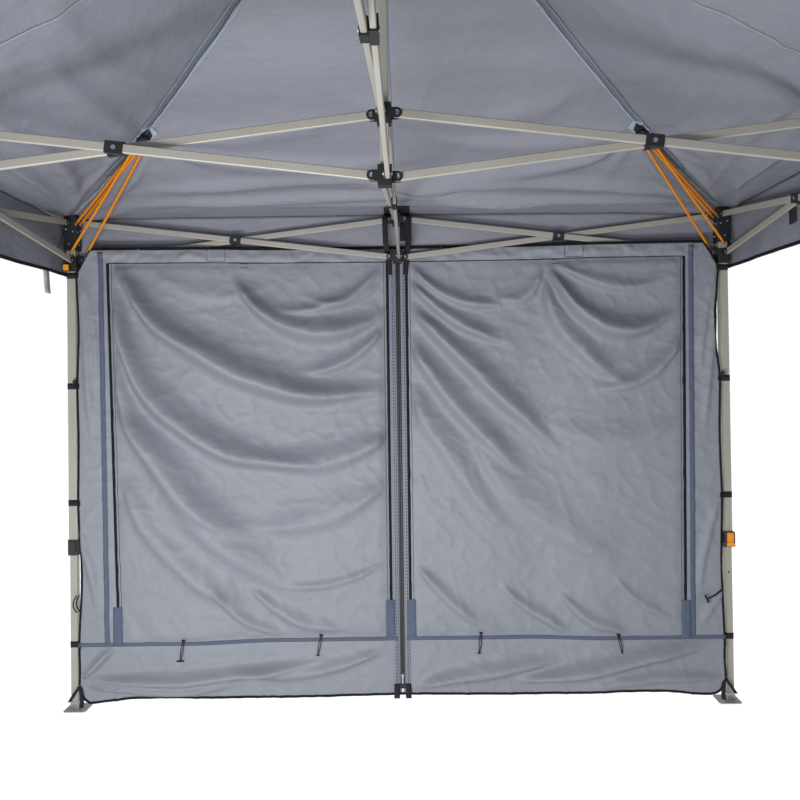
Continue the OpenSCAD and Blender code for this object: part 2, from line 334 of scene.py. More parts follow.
COLLAR_TOP = leg_low.z + 0.072
BRACKET_FOOT = LOW + 0.03
FOOT_TOP = 0.031
CAP_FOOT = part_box("peak_pole")[1].z - 0.016


def all_over(point):
    return 0


for corner in CORNERS:
    dress(
        f"{corner}_outer_leg",
        [steel, black],
        lambda point: 1 if point.z < COLLAR_TOP or point.z > BRACKET_FOOT else 0,
    )
    dress(f"{corner}_inner_leg", [steel, foot_metal], lambda point: 1 if point.z < FOOT_TOP else 0)
    dress(f"{corner}_slider", [black], all_over)
    dress(f"{corner}_slider_button", [orange], all_over)
    dress(f"{corner}_leg_lever", [orange], all_over)
for side in SIDES:
    dress(f"{side}_mid_bracket_top", [black], all_over)
    dress(f"{side}_mid_bracket_low", [black], all_over)
dress("hub_top", [black], all_over)
dress("hub_low", [black], all_over)
dress("peak_pole", [steel, black], lambda point: 1 if point.z > CAP_FOOT else 0)
dress("wall_zip_slider", [rivet_metal], all_over)


# ---- canopy cloth ----
# Coated polyester oxford, blue-grey: a fine plain weave under a thin coat, with creases from the
# bag. The same cloth makes the roof, the valances and the wall. The roof's and the valances' copy
# is painted darker than the wall's, as painted shade.
def oxford(name, pale, dark, crease=1.0):
    paint = Paint(name, Specular_IOR_Level=0.4)
    cut = paint.place(uv=True)
    warp = (paint.axis(cut, 0) * 5200.0).sin()
    weft = (paint.axis(cut, 1) * 5200.0).sin()
    fading = paint.grain(cut, 1.6, 4.0)
    dust = paint.grain(cut, 24.0, 5.0)
    soft = paint.grain(paint.place((1.0, 2.2, 1.0), uv=True), 5.0, 6.0, 0.6)
    sharp = (paint.grain(cut, 9.0, 5.0, 0.6) - 0.5).size()
    colour = paint.mix(fading, dark, pale)
    paint.set("Base Color", paint.mix(dust * 0.15, colour, shade(140, 143, 150)))
    paint.set("Roughness", 0.46 + dust * 0.16)
    weave = paint.bump(warp * weft, 0.0002, 0.25)
    folds = paint.bump(soft, 0.014 * crease, 0.6, weave)
    paint.set("Normal", paint.bump(1.0 - sharp, 0.006 * crease, 0.45, folds))
    return paint.material


# painted shade: the roof and valances take a darker copy of the wall's cloth
roof_cloth_painted_shade = oxford("roof_cloth_painted_shade", shade(124, 126, 136), shade(112, 114, 125))
wall_cloth = oxford("wall_cloth", shade(136, 140, 149), shade(126, 130, 140), 0.8)


# ---- tape, binding and webbing ----
# Seams are closed with blue-grey polyester tape, edges are bound in black ribbed tape, and the
# ties and straps are black polypropylene webbing.
def woven(name, pale, dark, ribs, roughness=0.75):
    paint = Paint(name, roughness, Specular_IOR_Level=0.25)
    place = paint.place()
    cloud = paint.grain(place, 40.0, 4.0)
    lines = paint.node(
        "ShaderNodeTexWave",
        {"wave_type": "BANDS", "bands_direction": "DIAGONAL"},
        {"Vector": place, "Scale": ribs, "Distortion": 1.5, "Detail": 1.0},
    )
    paint.set("Base Color", paint.mix(lines * 0.5 + cloud * 0.5, dark, pale))
    paint.set("Normal", paint.bump(lines, 0.0006, 0.6))
    return paint.material


tape = woven("seam_tape", shade(98, 108, 126), shade(72, 84, 104), 190.0)
pale_tape = woven("hip_tape", shade(150, 164, 176), shade(126, 142, 156), 190.0)
flap_cloth = oxford("flap_cloth", shade(104, 106, 116), shade(92, 94, 106))
binding = woven("black_binding", shade(14, 14, 22), shade(3, 3, 8), 260.0)
webbing = woven("black_webbing", shade(44, 44, 50), shade(20, 20, 24), 230.0)
grey_webbing = woven("grey_webbing", shade(196, 198, 204), shade(170, 172, 180), 230.0)


def dotted_tape():
    paint = Paint("dotted_tape", 0.5, Specular_IOR_Level=0.3)
    cut = paint.place(uv=True)
    across, along = paint.axis(cut, 0), paint.axis(cut, 1)
    middle = (0.0028 - (across - 0.011).size()).above(0.0)
    dots = (along * 420.0).sin().above(-0.2)
    cloud = paint.grain(paint.place(), 30.0, 4.0)
    pale = paint.mix(cloud, shade(112, 117, 128), shade(132, 137, 147))
    paint.set("Base Color", paint.mix(middle * dots, pale, shade(44, 62, 96)))
    paint.set("Normal", paint.bump(middle * dots, 0.0006, 0.6))
    return paint.material


centre_tape = dotted_tape()
thread = woven("dark_thread", shade(60, 64, 76), shade(40, 44, 56), 400.0)


# ---- roof ----
# Four hollow gores meet at taped hips. Each gore is cut from the eave to the peak, hangs in long
# soft folds near the eave and is drawn into fans of creases at the corners and the hip patches.
canopy_low, canopy_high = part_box("canopy")
HALF = canopy_high.x
PEAK = canopy_high.z
EAVE = leg_high.z + 0.003
RISE = PEAK - EAVE
PATCH = 0.985
CLOTH = 0.0008
BOTH_FACES = (1, -1)


def turn(k, point):
    """A point turned k quarter turns anticlockwise about the middle of the shelter."""
    c, s = [(1, 0), (0, 1), (-1, 0), (0, -1)][k % 4]
    return Vector((point[0] * c - point[1] * s, point[0] * s + point[1] * c, point[2]))


def smooth(t):
    t = min(1.0, max(0.0, t))
    return t * t * (3 - 2 * t)


def new_piece(name, bm, materials, body, thickness=0.0, smoothed=True):
    """Turns a bmesh into a piece of the object that rides on a body."""
    mesh = bpy.data.meshes.new(name)
    bm.to_mesh(mesh)
    bm.free()
    piece = bpy.data.objects.new(name, mesh)
    scene.collection.objects.link(piece)
    for material in materials:
        mesh.materials.append(material)
    if smoothed:
        mesh.polygons.foreach_set("use_smooth", [True] * len(mesh.polygons))
    if thickness:
        wall = piece.modifiers.new("thickness", "SOLIDIFY")
        wall.thickness, wall.offset = thickness, 0
    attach(piece, body)
    return piece


def lay_grid(bm, across, along, lie, material=0, cut=None):
    """A grid of across by along cells whose corners lie where lie(u, v) says, u and v 0 to 1."""
    made = bmesh.ops.create_grid(bm, x_segments=across, y_segments=along, size=0.5)
    uv = bm.loops.layers.uv.verify()
    verts = made["verts"]
    flat = {v: (v.co.x + 0.5, v.co.y + 0.5) for v in verts}
    for v in verts:
        v.co = lie(*flat[v])
    for face in {f for v in verts for f in v.link_faces}:
        face.material_index = material
        for loop in face.loops:
            u, v = flat[loop.vert]
            loop[uv].uv = cut(u, v) if cut else (u, v)
    return verts


def lay_strip(bm, surface, path, width, lift, material=0, steps=40, faces=(1,)):
    """A tape sewn on a surface along a path of points on its cut, lifted off it by a hair."""
    lengths = [0.0]
    for a, b in zip(path, path[1:]):
        lengths.append(lengths[-1] + math.dist(a, b))

    def on_path(t):
        run = t * lengths[-1]
        for i in range(len(path) - 1):
            if run <= lengths[i + 1] or i == len(path) - 2:
                share = (run - lengths[i]) / max(1e-9, lengths[i + 1] - lengths[i])
                a, b = path[i], path[i + 1]
                way = Vector((b[0] - a[0], b[1] - a[1])).normalized()
                point = Vector(a[:2]) * (1 - share) + Vector(b[:2]) * share
                return point, Vector((-way.y, way.x))

    for face in faces:

        def lie(u, v):
            point, out = on_path(v)
            p = point + out * (u - 0.5) * width
            here = surface(p.x, p.y)
            normal = (surface(p.x + 0.004, p.y) - here).cross(surface(p.x, p.y + 0.004) - here)
            return here + normal.normalized() * lift * face

        lay_grid(bm, 3, steps, lie, material, lambda u, v: (u * width, v * lengths[-1]))


def swag(x, z, start, through, end, width, depth):
    """A drawn fold that hangs in a bow from one held point to another, rounder on its upper side."""
    ex, ez = end[0] - start[0], end[1] - start[1]
    span = math.hypot(ex, ez)
    ex, ez = ex / span, ez / span

    def along(px, pz):
        dx, dz = px - start[0], pz - start[1]
        return (dx * ex + dz * ez) / span, dz * ex - dx * ez

    t, off = along(x, z)
    if not 0 < t < 1:
        return 0.0
    mid_t, mid_off = along(*through)
    bow = mid_off / (4 * mid_t * (1 - mid_t))
    d = off - bow * 4 * t * (1 - t)
    if ex < 0:
        d = -d
    grown = 0.85 * width * (0.35 + 0.65 * math.sin(math.pi * t))
    d /= grown * (1.5 if d > 0 else 0.75)
    if abs(d) > 3:
        return 0.0
    return 1.8 * depth * math.exp(-d * d) * smooth(t / 0.16) * smooth((1 - t) / 0.35)


def crinkle(x, z, seed, size):
    """Small sharp creases, as a pressed cloth keeps: ridges where a noise crosses nought."""
    first = 1 - abs(noise.noise((x / size, z / size, seed))) * 2.4
    second = 1 - abs(noise.noise((x / size * 2.3, z / size * 2.1, seed + 50))) * 2.4
    return max(0.0, first) ** 4 + 0.5 * max(0.0, second) ** 4


def fan(s, x, at_s, at_x, count, reach, seed):
    """Creases that spread from a point where the cloth is pulled."""
    ds, dx = s - at_s, x - at_x
    r = math.hypot(ds, dx)
    if r > 4 * reach or r < 1e-6:
        return 0.0
    angle = math.atan2(dx, ds)
    wobble = noise.noise((ds * 4, dx * 4, seed))
    spoke = math.cos(angle * count + wobble * 3.0)
    spoke = (0.5 + 0.5 * spoke) ** 1.6
    return spoke * math.exp(-r / reach) * smooth(r / 0.10)


def roof_height(x):
    return EAVE + RISE * max(0.0, 1 - x / HALF) ** 1.3


# Each row is a long fold's start, the point that it passes and its end, on the cut, from the
# middle line, then its width and its depth.
ROOF_FOLDS = [
    ((-1.38, 1.44), (-0.30, 1.36), (0.75, 1.42), 0.030, 0.016),
    ((-0.75, 1.40), (0.25, 1.31), (1.38, 1.43), 0.032, 0.018),
    ((-1.30, 1.36), (-0.55, 1.22), (0.45, 1.27), 0.042, 0.018),
    ((-0.35, 1.24), (0.45, 1.19), (1.28, 1.35), 0.040, 0.017),
    ((-0.97, 1.02), (-0.60, 1.13), (0.20, 1.17), 0.050, 0.018),
    ((0.97, 1.02), (0.55, 1.10), (-0.15, 1.09), 0.050, 0.016),
    ((-0.95, 1.00), (-0.55, 1.00), (-0.05, 0.97), 0.045, 0.011),
    ((0.95, 1.00), (0.60, 0.97), (0.15, 0.90), 0.045, 0.011),
    ((-0.75, 0.78), (-0.35, 0.88), (0.25, 0.80), 0.060, 0.009),
    ((-1.42, 1.45), (-1.18, 1.28), (-0.99, 1.04), 0.024, 0.012),
    ((1.42, 1.45), (1.18, 1.28), (0.99, 1.04), 0.024, 0.012),
]


def roof_fold(k, s, x):
    """How far the cloth stands off its cut: folds fade at the hips, so the gores stay joined."""
    hip = smooth((x - abs(s)) / 0.10)
    wide_hip = smooth((x - abs(s)) / 0.30)
    eave = smooth((HALF - x) / 0.16)
    seed = 3.7 * k
    flip = 1 if k in (1, 2) else -1
    jog = 0.03 * noise.noise((s * 1.5, x * 1.5, seed))
    long_folds = sum(swag(s * flip, x + jog, *row) for row in ROOF_FOLDS)
    slack = noise.noise((s * 1.3, x * 2.4, seed + 9)) * 0.012
    ripple = noise.noise((s * 3.0, x * 7.0, seed + 2)) * 0.004
    fans = 0.0
    for end in (-1, 1):
        fans += 0.030 * fan(s, x, end * HALF, HALF, 13, 0.30, seed + end)
        fans += 0.020 * fan(s, x, end * PATCH, PATCH, 10, 0.17, seed + 20 + end)
    gap = x - abs(s)
    pucker = 0.007 * noise.noise((x * 22 + s * 4, gap * 9, seed + 31))
    pucker *= math.exp(-gap / 0.07) * smooth(gap / 0.012)
    pucker += 0.0022 * crinkle(x * 0.8, s, seed, 0.16) * eave
    return -hip * (long_folds * eave + fans) - pucker + wide_hip * (slack + ripple) * eave


def roof_point(k, s, x):
    sag = -0.014 * smooth((x - abs(s)) / 0.5) * smooth((HALF - x) / 0.4)
    return turn(k, (x, s, roof_height(x) + roof_fold(k, s, x) + sag))


SLOPE = Vector((-HALF, 0, RISE)).normalized()
for k, side in enumerate(SIDES):
    for half, end in ((1, 1), (2, -1)):
        body = f"{side}_bar_rising_{half}"

        def half_gore(u, v):
            x = HALF - (HALF - 0.002) * v
            return roof_point(k, end * u * x, x)

        def half_cut(u, v):
            x = HALF * (1 - v)
            return (end * u * x, x * 1.15)

        def under(s, x):
            return roof_point(k, s, x)

        bm = bmesh.new()
        lay_grid(bm, 100, 130, half_gore, 0, half_cut)
        cloth = new_piece(f"roof_{side}_{half}", bm, [roof_cloth_painted_shade], body, CLOTH)

        # the seam's two stitched lines, and on the side gores the flap that is folded over it
        bm = bmesh.new()
        stations = (HALF, 1.2, 0.9, 0.6, 0.3, 0.05)
        lay_strip(bm, under, [(end * (t - 0.005), t) for t in stations], 0.005, 0.003, 0, 110, BOTH_FACES)
        if k % 2 == 0:
            flap = [(end * (t - 0.020 - 0.022 * smooth((1.3 - t) / 0.8)), t) for t in stations[1:5]]
            lay_strip(bm, under, flap, 0.036, 0.004, 1, 110, BOTH_FACES)
            edge = [(s - end * 0.027, t) for s, t in flap]
            lay_strip(bm, under, edge, 0.004, 0.005, 0, 110, BOTH_FACES)
        finishes = [pale_tape, flap_cloth]
        hip_tape = new_piece(f"roof_{side}_{half}_hip_tape", bm, finishes, body, CLOTH)

        # the hip patch: black webbing in a border of tape, under the gore where the cords pull
        bm = bmesh.new()
        layers = ((0.938, 1.070, 0.044, 0.005, 0), (0.950, 1.064, 0.032, 0.007, 1))
        for inner, outer, broad, lift, material in layers:

            def in_patch(u, v):
                x = outer + (inner + 0.03 * u - outer) * v
                return under(end * (x - 0.001 - broad * u), x) - Vector((0, 0, lift))

            lay_grid(bm, 8, 12, in_patch, material)
        finishes = [pale_tape, webbing]
        patch = new_piece(f"roof_{side}_{half}_hip_patch", bm, finishes, body, 0.001)

        for piece in (cloth, hip_tape, patch):
            turn(k, SLOPE)
            turn(k, (HALF, 0, EAVE))
            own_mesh(piece)
        if k == 0 and half == 1:
            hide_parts("canopy")


# ---- valances ----
# A straight strip sewn under the eave on each side, hanging free, with its lower edge bound in
# black tape and a little fulness between the legs.
VALANCE = EAVE - canopy_low.z


def valance_point(k, s, drop):
    fall = drop / VALANCE
    wave = noise.noise((s * 2.6, 0.3 * fall, 7.1 * k)) * 0.018
    wave += noise.noise((s * 7.0, fall, 2.0 * k + 40)) * 0.006
    held = smooth((HALF - abs(s)) / 0.25)
    creases = sum(0.010 * fan(s, -drop, end * HALF, 0.0, 14, 0.16, k + end) for end in (-1, 1))
    lift = roof_fold(k, s, HALF) * (1 - fall)
    return turn(k, (HALF - 0.001 + wave * fall * held - creases, s, EAVE - drop + lift))


for k, side in enumerate(SIDES):
    for half, end in ((1, 1), (2, -1)):
        body = f"{side}_bar_rising_{half}"

        def on_valance(s, drop):
            return valance_point(k, s, drop)

        bm = bmesh.new()
        lay_grid(
            bm,
            120,
            20,
            lambda u, v: on_valance(end * u * (HALF - 0.0005), v * VALANCE),
            0,
            lambda u, v: (end * u * HALF, v * VALANCE),
        )
        cloth = new_piece(f"valance_{side}_{half}", bm, [roof_cloth_painted_shade], body, CLOTH)
        bm = bmesh.new()
        hem_path = [(0, VALANCE - 0.006), (end * (HALF - 0.001), VALANCE - 0.006)]
        lay_strip(bm, on_valance, hem_path, 0.014, 0.0015, 0, 120, BOTH_FACES)
        hem = new_piece(f"valance_{side}_{half}_binding", bm, [binding], body, CLOTH)
        for piece in (cloth, hem):
            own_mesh(piece)


# ---- side wall ----
# Two cloth halves join at a centre zip and hang from the truss inside the back legs. Each has a
# door panel with a zip down both sides, a skirt below a taped seam and a black bound edge.
WALL_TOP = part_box("wall_right")[1].z + 0.006
WALL_LINE = [(0.0, 1.512), (0.551, 1.498), (0.956, 1.452), (1.44, 1.440)]
STRAP_HEIGHTS = [1.945, 1.445, 0.92, 0.285]
SKIRT_TOP = 0.288
DOOR_TOP = 1.996
EDGE = 1.446
TOP_CORNER = 1.378
DOOR_ZIPS = {-1: (-0.048, -1.304, -1.270), 1: (0.040, 1.290, 1.272)}


def wall_line(x):
    x = min(abs(x), 1.44)
    for (x0, y0), (x1, y1) in zip(WALL_LINE, WALL_LINE[1:]):
        if x <= x1:
            return y0 + (y1 - y0) * smooth((x - x0) / (x1 - x0))
    return WALL_LINE[-1][1]


def edge_of_wall(side, z):
    """The wall's bound side is pulled out at each strap and hollow between two of them."""
    stations = STRAP_HEIGHTS + [0.11]
    hollows = (0.024, 0.006, 0.008, 0.004) if side > 0 else (0.008, 0.004, 0.014, 0.004)
    for (upper, lower), hollow in zip(zip(stations, stations[1:]), hollows):
        if lower <= z <= upper:
            return EDGE - hollow * math.sin(math.pi * (upper - z) / (upper - lower)) ** 1.5
    return EDGE


def top_of_wall(x):
    return WALL_TOP - 0.115 * max(0.0, (abs(x) - TOP_CORNER) / (EDGE - TOP_CORNER))


def hem_of_wall(side, x):
    a = abs(x)
    rise = 0.024 * smooth((a - 0.5) / 0.6) - 0.014 * smooth((a - 1.18) / 0.18)
    corner = 0.078 * (1 - math.sqrt(max(0.0, 1 - (max(0.0, a - 1.375) / 0.0712) ** 2)))
    dip = 0.010 * math.exp(-(((a - 1.40) / 0.03) ** 2)) if side < 0 else 0
    return 0.022 + rise + corner - dip


# start, a point passed and end of each drawn fold of the two doors, skirts and side panels, as
# distances from the zip line and heights, then its width and its depth
WALL_FOLDS = {
    -1: [
        ((-1.29, 2.02), (-0.93, 1.60), (0.05, 1.42), 0.060, 0.058),
        ((-1.28, 1.90), (-1.12, 1.42), (-0.30, 1.05), 0.058, 0.048),
        ((-1.27, 1.63), (-1.17, 1.22), (-0.55, 0.72), 0.065, 0.026),
        ((-1.26, 1.38), (-1.04, 1.00), (-0.40, 0.44), 0.085, 0.028),
        ((-1.25, 1.05), (-1.10, 0.75), (-0.62, 0.40), 0.055, 0.020),
        ((-0.06, 1.99), (-0.19, 1.85), (-0.60, 1.79), 0.028, 0.018),
        ((-0.06, 1.93), (-0.25, 1.80), (-0.48, 1.86), 0.022, 0.010),
        ((-0.76, 1.93), (-0.45, 1.675), (0.0, 1.80), 0.050, 0.040),
        ((-1.12, 1.97), (-0.84, 1.84), (-0.52, 1.93), 0.034, 0.007),
        ((-0.05, 1.71), (-0.15, 1.60), (-0.48, 1.50), 0.028, 0.018),
        ((-0.02, 1.22), (-0.30, 1.08), (-0.72, 1.14), 0.055, 0.024),
        ((-0.05, 0.98), (-0.32, 0.84), (-0.72, 0.80), 0.060, 0.016),
        ((-0.85, 0.56), (-0.68, 0.36), (-0.50, 0.30), 0.022, 0.014),
        ((-0.70, 0.54), (-0.50, 0.38), (-0.20, 0.33), 0.028, 0.014),
        ((-0.08, 0.62), (-0.35, 0.52), (-0.60, 0.53), 0.018, 0.010),
        ((-1.42, 0.14), (-0.95, 0.115), (-0.30, 0.20), 0.026, 0.016),
        ((-1.43, 0.12), (-1.15, 0.075), (-0.70, 0.09), 0.020, 0.012),
        ((-1.43, 0.13), (-1.36, 0.20), (-1.27, 0.29), 0.016, 0.010),
        ((-0.06, 0.24), (-0.40, 0.13), (-0.85, 0.17), 0.030, 0.010),
        ((-1.44, 1.95), (-1.41, 1.60), (-1.39, 1.15), 0.020, 0.012),
        ((-1.44, 1.96), (-1.385, 1.75), (-1.37, 1.40), 0.014, 0.009),
        ((-1.45, 0.92), (-1.40, 0.66), (-1.37, 0.40), 0.020, 0.012),
    ],
    1: [
        ((0.04, 1.99), (0.22, 1.83), (0.54, 1.80), 0.028, 0.022),
        ((0.04, 1.92), (0.27, 1.71), (0.54, 1.62), 0.034, 0.028),
        ((0.03, 1.80), (0.37, 1.46), (0.74, 1.10), 0.048, 0.036),
        ((0.03, 1.66), (0.21, 1.38), (0.62, 1.00), 0.050, 0.030),
        ((0.03, 1.45), (0.22, 1.08), (0.60, 0.72), 0.060, 0.020),
        ((0.30, 1.22), (0.60, 0.86), (1.05, 0.55), 0.085, 0.018),
        ((0.67, 1.98), (0.89, 1.69), (1.32, 1.80), 0.052, 0.046),
        ((0.66, 1.92), (0.79, 1.58), (1.05, 1.42), 0.048, 0.026),
        ((1.29, 1.66), (1.16, 1.49), (0.84, 1.40), 0.034, 0.022),
        ((0.70, 1.985), (0.95, 1.87), (1.27, 1.93), 0.028, 0.016),
        ((0.66, 1.97), (0.58, 1.82), (0.40, 1.84), 0.028, 0.014),
        ((1.27, 1.28), (1.00, 1.16), (0.62, 1.30), 0.060, 0.012),
        ((0.06, 0.60), (0.20, 0.44), (0.42, 0.31), 0.026, 0.014),
        ((0.45, 0.52), (0.58, 0.40), (0.80, 0.31), 0.022, 0.015),
        ((0.70, 0.48), (0.82, 0.38), (1.02, 0.31), 0.022, 0.015),
        ((0.95, 0.56), (1.08, 0.42), (1.24, 0.36), 0.022, 0.010),
        ((0.04, 0.05), (0.42, 0.13), (0.78, 0.20), 0.034, 0.014),
        ((0.50, 0.09), (0.95, 0.16), (1.43, 0.275), 0.036, 0.018),
        ((1.43, 0.11), (1.20, 0.10), (0.80, 0.06), 0.024, 0.010),
        ((1.44, 1.94), (1.40, 1.60), (1.37, 1.15), 0.018, 0.012),
        ((1.44, 1.96), (1.38, 1.75), (1.355, 1.40), 0.014, 0.009),
        ((1.45, 0.50), (1.39, 0.42), (1.33, 0.32), 0.018, 0.009),
        ((1.44, 0.92), (1.37, 0.72), (1.34, 0.45), 0.018, 0.010),
    ],
}


def band(value, low, high, soft):
    return smooth((value - low) / soft) * smooth((high - value) / soft)


def wall_fold(side, x, z):
    """How far the cloth stands in towards the shelter from its plane."""
    inner, upper_zip, lower_zip = DOOR_ZIPS[side]
    share = (DOOR_TOP - z) / (DOOR_TOP - SKIRT_TOP)
    outer = abs(upper_zip + (lower_zip - upper_zip) * share)
    a = abs(x)
    door = band(a, abs(inner), outer, 0.05) * band(z, SKIRT_TOP, DOOR_TOP, 0.035)
    skirt = smooth((SKIRT_TOP - z) / 0.03) * smooth((a - 0.02) / 0.05)
    flank = band(a, outer, EDGE, 0.03) * smooth((z - SKIRT_TOP) / 0.05)
    header = smooth((z - DOOR_TOP) / 0.02) * smooth((WALL_TOP - z) / 0.02)
    inside = max(door, skirt, flank)
    if inside <= 0 and header <= 0:
        return 0.0
    seed = 11.0 * side
    jog = 0.02 * noise.noise((x * 3.1, z * 3.1, seed))
    drawn = sum(swag(x + jog, z + jog, *row) for row in WALL_FOLDS[side])
    slack = 0.014 * noise.noise((x * 1.7, z * 1.3, seed + 3)) + 0.008
    crumple = 0.0035 * noise.noise((x * 7.0, z * 6.0, seed + 5))
    crumple += 0.0014 * noise.noise((x * 22, z * 20, seed + 6))
    crumple += 0.0040 * crinkle(x + 0.3 * z, z, seed, 0.10)
    fold = drawn * (inside + 0.8 * skirt) + slack * door + 0.4 * slack * skirt + crumple * max(inside, header)
    zip_gap = min(a - abs(inner), outer - a)
    if door > 0:
        fold += 0.010 * noise.noise((z * 17, seed, 0)) * math.exp(-zip_gap / 0.045) * smooth(zip_gap / 0.012)
        top_gap, low_gap = DOOR_TOP - z, z - SKIRT_TOP
        fold += 0.008 * noise.noise((x * 19, seed, 4)) * math.exp(-top_gap / 0.05) * smooth(top_gap / 0.012)
        drift = x * 13 + (z - SKIRT_TOP) * 9
        fold += 0.018 * noise.noise((drift, z * 3, seed)) * math.exp(-low_gap / 0.10) * smooth(low_gap / 0.02)
    ruffle = 0.008 * noise.noise((x * 9, z * 30, seed + 8)) + 0.006 * crinkle(x, z, seed + 9, 0.07)
    return fold + header * ruffle


def wall_point(side, x, z):
    return Vector((x, wall_line(x) - wall_fold(side, x, z), z))


HOOK_TAPE = {-1: 1.335, 1: 1.322}
DOOR_MIDDLE = {-1: 0.82, 1: 0.80}
DOOR_LOOP = {-1: 0.695, 1: 0.72}
for side, name, corner in ((-1, "left", "back_left"), (1, "right", "back_right")):
    body = f"{corner}_outer_leg"

    def on_wall(x, z):
        return wall_point(side, x, z)

    def cut_wall(u, v):
        x0 = side * (0.003 + (EDGE - 0.003) * u)
        top, low = top_of_wall(x0), hem_of_wall(side, x0)
        z = top + (low - top) * v
        x = x0 - side * (EDGE - edge_of_wall(side, z)) * u**8
        return x, z

    def sewn(part, materials, thickness, rows):
        """Strips sewn on this half: each row is a path on its cut, then what lay_strip takes."""
        bm = bmesh.new()
        for path, *rest in rows:
            lay_strip(bm, on_wall, path, *rest)
        return new_piece(f"wall_{name}_{part}", bm, materials, body, thickness)

    bm = bmesh.new()
    lay_grid(bm, 150, 200, lambda u, v: on_wall(*cut_wall(u, v)), 0, cut_wall)
    cloth = new_piece(f"wall_{name}_cloth", bm, [wall_cloth], body, CLOTH)

    # the bound edge: along the top, down to the first strap, down the side and round the hem
    upper = [(side * x, WALL_TOP - 0.005) for x in (0.003, 0.7, TOP_CORNER)]
    down_side = [1.95 - 1.84 * t / 60 for t in range(61)]
    bound = [(side * (edge_of_wall(side, z) - 0.003), z) for z in down_side]
    hem = [(side * x, hem_of_wall(side, x) + 0.004) for x in [EDGE * t / 60 for t in range(61)]]
    rows = [
        (upper, 0.013, 0.0015, 0, 120, BOTH_FACES),
        ([upper[-1], (side * EDGE, STRAP_HEIGHTS[0])], 0.008, 0.0015, 0, 20, BOTH_FACES),
        (bound, 0.010, 0.0015, 0, 180, BOTH_FACES),
        (hem, 0.011, 0.0015, 0, 180, BOTH_FACES),
    ]
    edges = sewn("binding", [binding], CLOTH, rows)

    # the door's two zips, and this half of the centre zip
    inner, upper_zip, lower_zip = DOOR_ZIPS[side]
    zip_foot = SKIRT_TOP + 0.165
    rows = [
        ([(inner, DOOR_TOP), (inner, zip_foot)], 0.0125, 0.0025, 0, 160, BOTH_FACES),
        ([(upper_zip, DOOR_TOP), (lower_zip, zip_foot)], 0.0125, 0.0025, 0, 160, BOTH_FACES),
        ([(side * 0.0052, WALL_TOP - 0.03), (side * 0.0052, 0.05)], 0.0102, 0.004, 1, 200, BOTH_FACES),
    ]
    zips = sewn("zips", [binding, black], 0.0012, rows)

    # the centre zip's dotted tape, the hook tape at the side, the skirt's seam and the zips' ends
    hook_tape = HOOK_TAPE[side]
    hooks_lie = [(side * hook_tape, WALL_TOP - 0.02), (side * (hook_tape - 0.018), SKIRT_TOP)]
    seam = [(side * 0.02, SKIRT_TOP - 0.012), (side * EDGE, SKIRT_TOP)]
    rows = [
        ([(side * 0.026, WALL_TOP - 0.03), (side * 0.026, 0.035)], 0.022, 0.002, 1, 200),
        (hooks_lie, 0.022, 0.002, 0, 160),
        (seam, 0.017, 0.0026, 0, 160),
    ]
    for place in (inner + side * 0.004, lower_zip + (0.0 if side < 0 else 0.002)):
        rows.append(([(place, zip_foot), (place, SKIRT_TOP - 0.004)], 0.042, 0.0034, 0, 30))
    tapes = sewn("tapes", [tape, centre_tape], CLOTH, rows)

    # stitching: over the door, beside its zips, and where the roll-up loops are sewn on
    beside_inner = inner + side * 0.016
    beside_upper, beside_lower = upper_zip - side * 0.016, lower_zip - side * 0.016
    rows = [
        ([(inner, DOOR_TOP), (upper_zip, DOOR_TOP)], 0.005, 0.002, 0, 160, BOTH_FACES),
        ([(beside_inner, DOOR_TOP), (beside_inner, zip_foot)], 0.002, 0.001, 0, 160),
        ([(beside_upper, DOOR_TOP), (beside_lower, zip_foot)], 0.002, 0.001, 0, 160),
    ]
    middle = side * DOOR_MIDDLE[side]
    for dx in (-0.04, 0.04):
        rows.append(([(middle + dx, WALL_TOP - 0.012), (middle + dx, DOOR_TOP + 0.006)], 0.002, 0.0012, 0, 8))
    loop_foot = DOOR_TOP + 0.008
    rows.append(([(middle - 0.04, loop_foot), (middle + 0.04, loop_foot)], 0.002, 0.0012, 0, 8))
    loop_x = side * DOOR_LOOP[side]
    for dz in (-0.004, -0.022):
        across = [(loop_x - 0.017, DOOR_TOP + dz), (loop_x + 0.017, DOOR_TOP + dz)]
        rows.append((across, 0.002, 0.0012, 0, 6))
    stitches = sewn("stitching", [thread], 0.0006, rows)

    for piece in (cloth, edges, zips, tapes, stitches):
        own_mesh(piece)
    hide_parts(f"wall_{name}")


# ---- tension cords ----
# Four elastic cords run from each hip patch to the leg's bracket and its slider and pull the
# roof tight. Each is hooked at its lower end and knotted into a black loop at its upper end.
def sock():
    paint = Paint("orange_cord", 0.62, Specular_IOR_Level=0.3)
    place = paint.place()
    braid = paint.node(
        "ShaderNodeTexWave",
        {"wave_type": "BANDS", "bands_direction": "Z"},
        {"Vector": place, "Scale": 130.0, "Distortion": 3.0, "Detail": 2.0, "Detail Scale": 40.0},
    )
    soil = paint.grain(place, 30.0, 4.0)
    paint.set("Base Color", paint.mix(braid * 0.6 + soil * 0.4, shade(206, 112, 6), shade(248, 160, 24)))
    paint.set("Roughness", 0.55 + soil * 0.2)
    paint.set("Normal", paint.bump(braid, 0.0007, 0.7))
    return paint.material


cord_sock = sock()
CORD = 0.0115
SPREAD = 0.0085
CORD_TOP = roof_height(PATCH + 0.005 + 1.5 * SPREAD) - 0.018


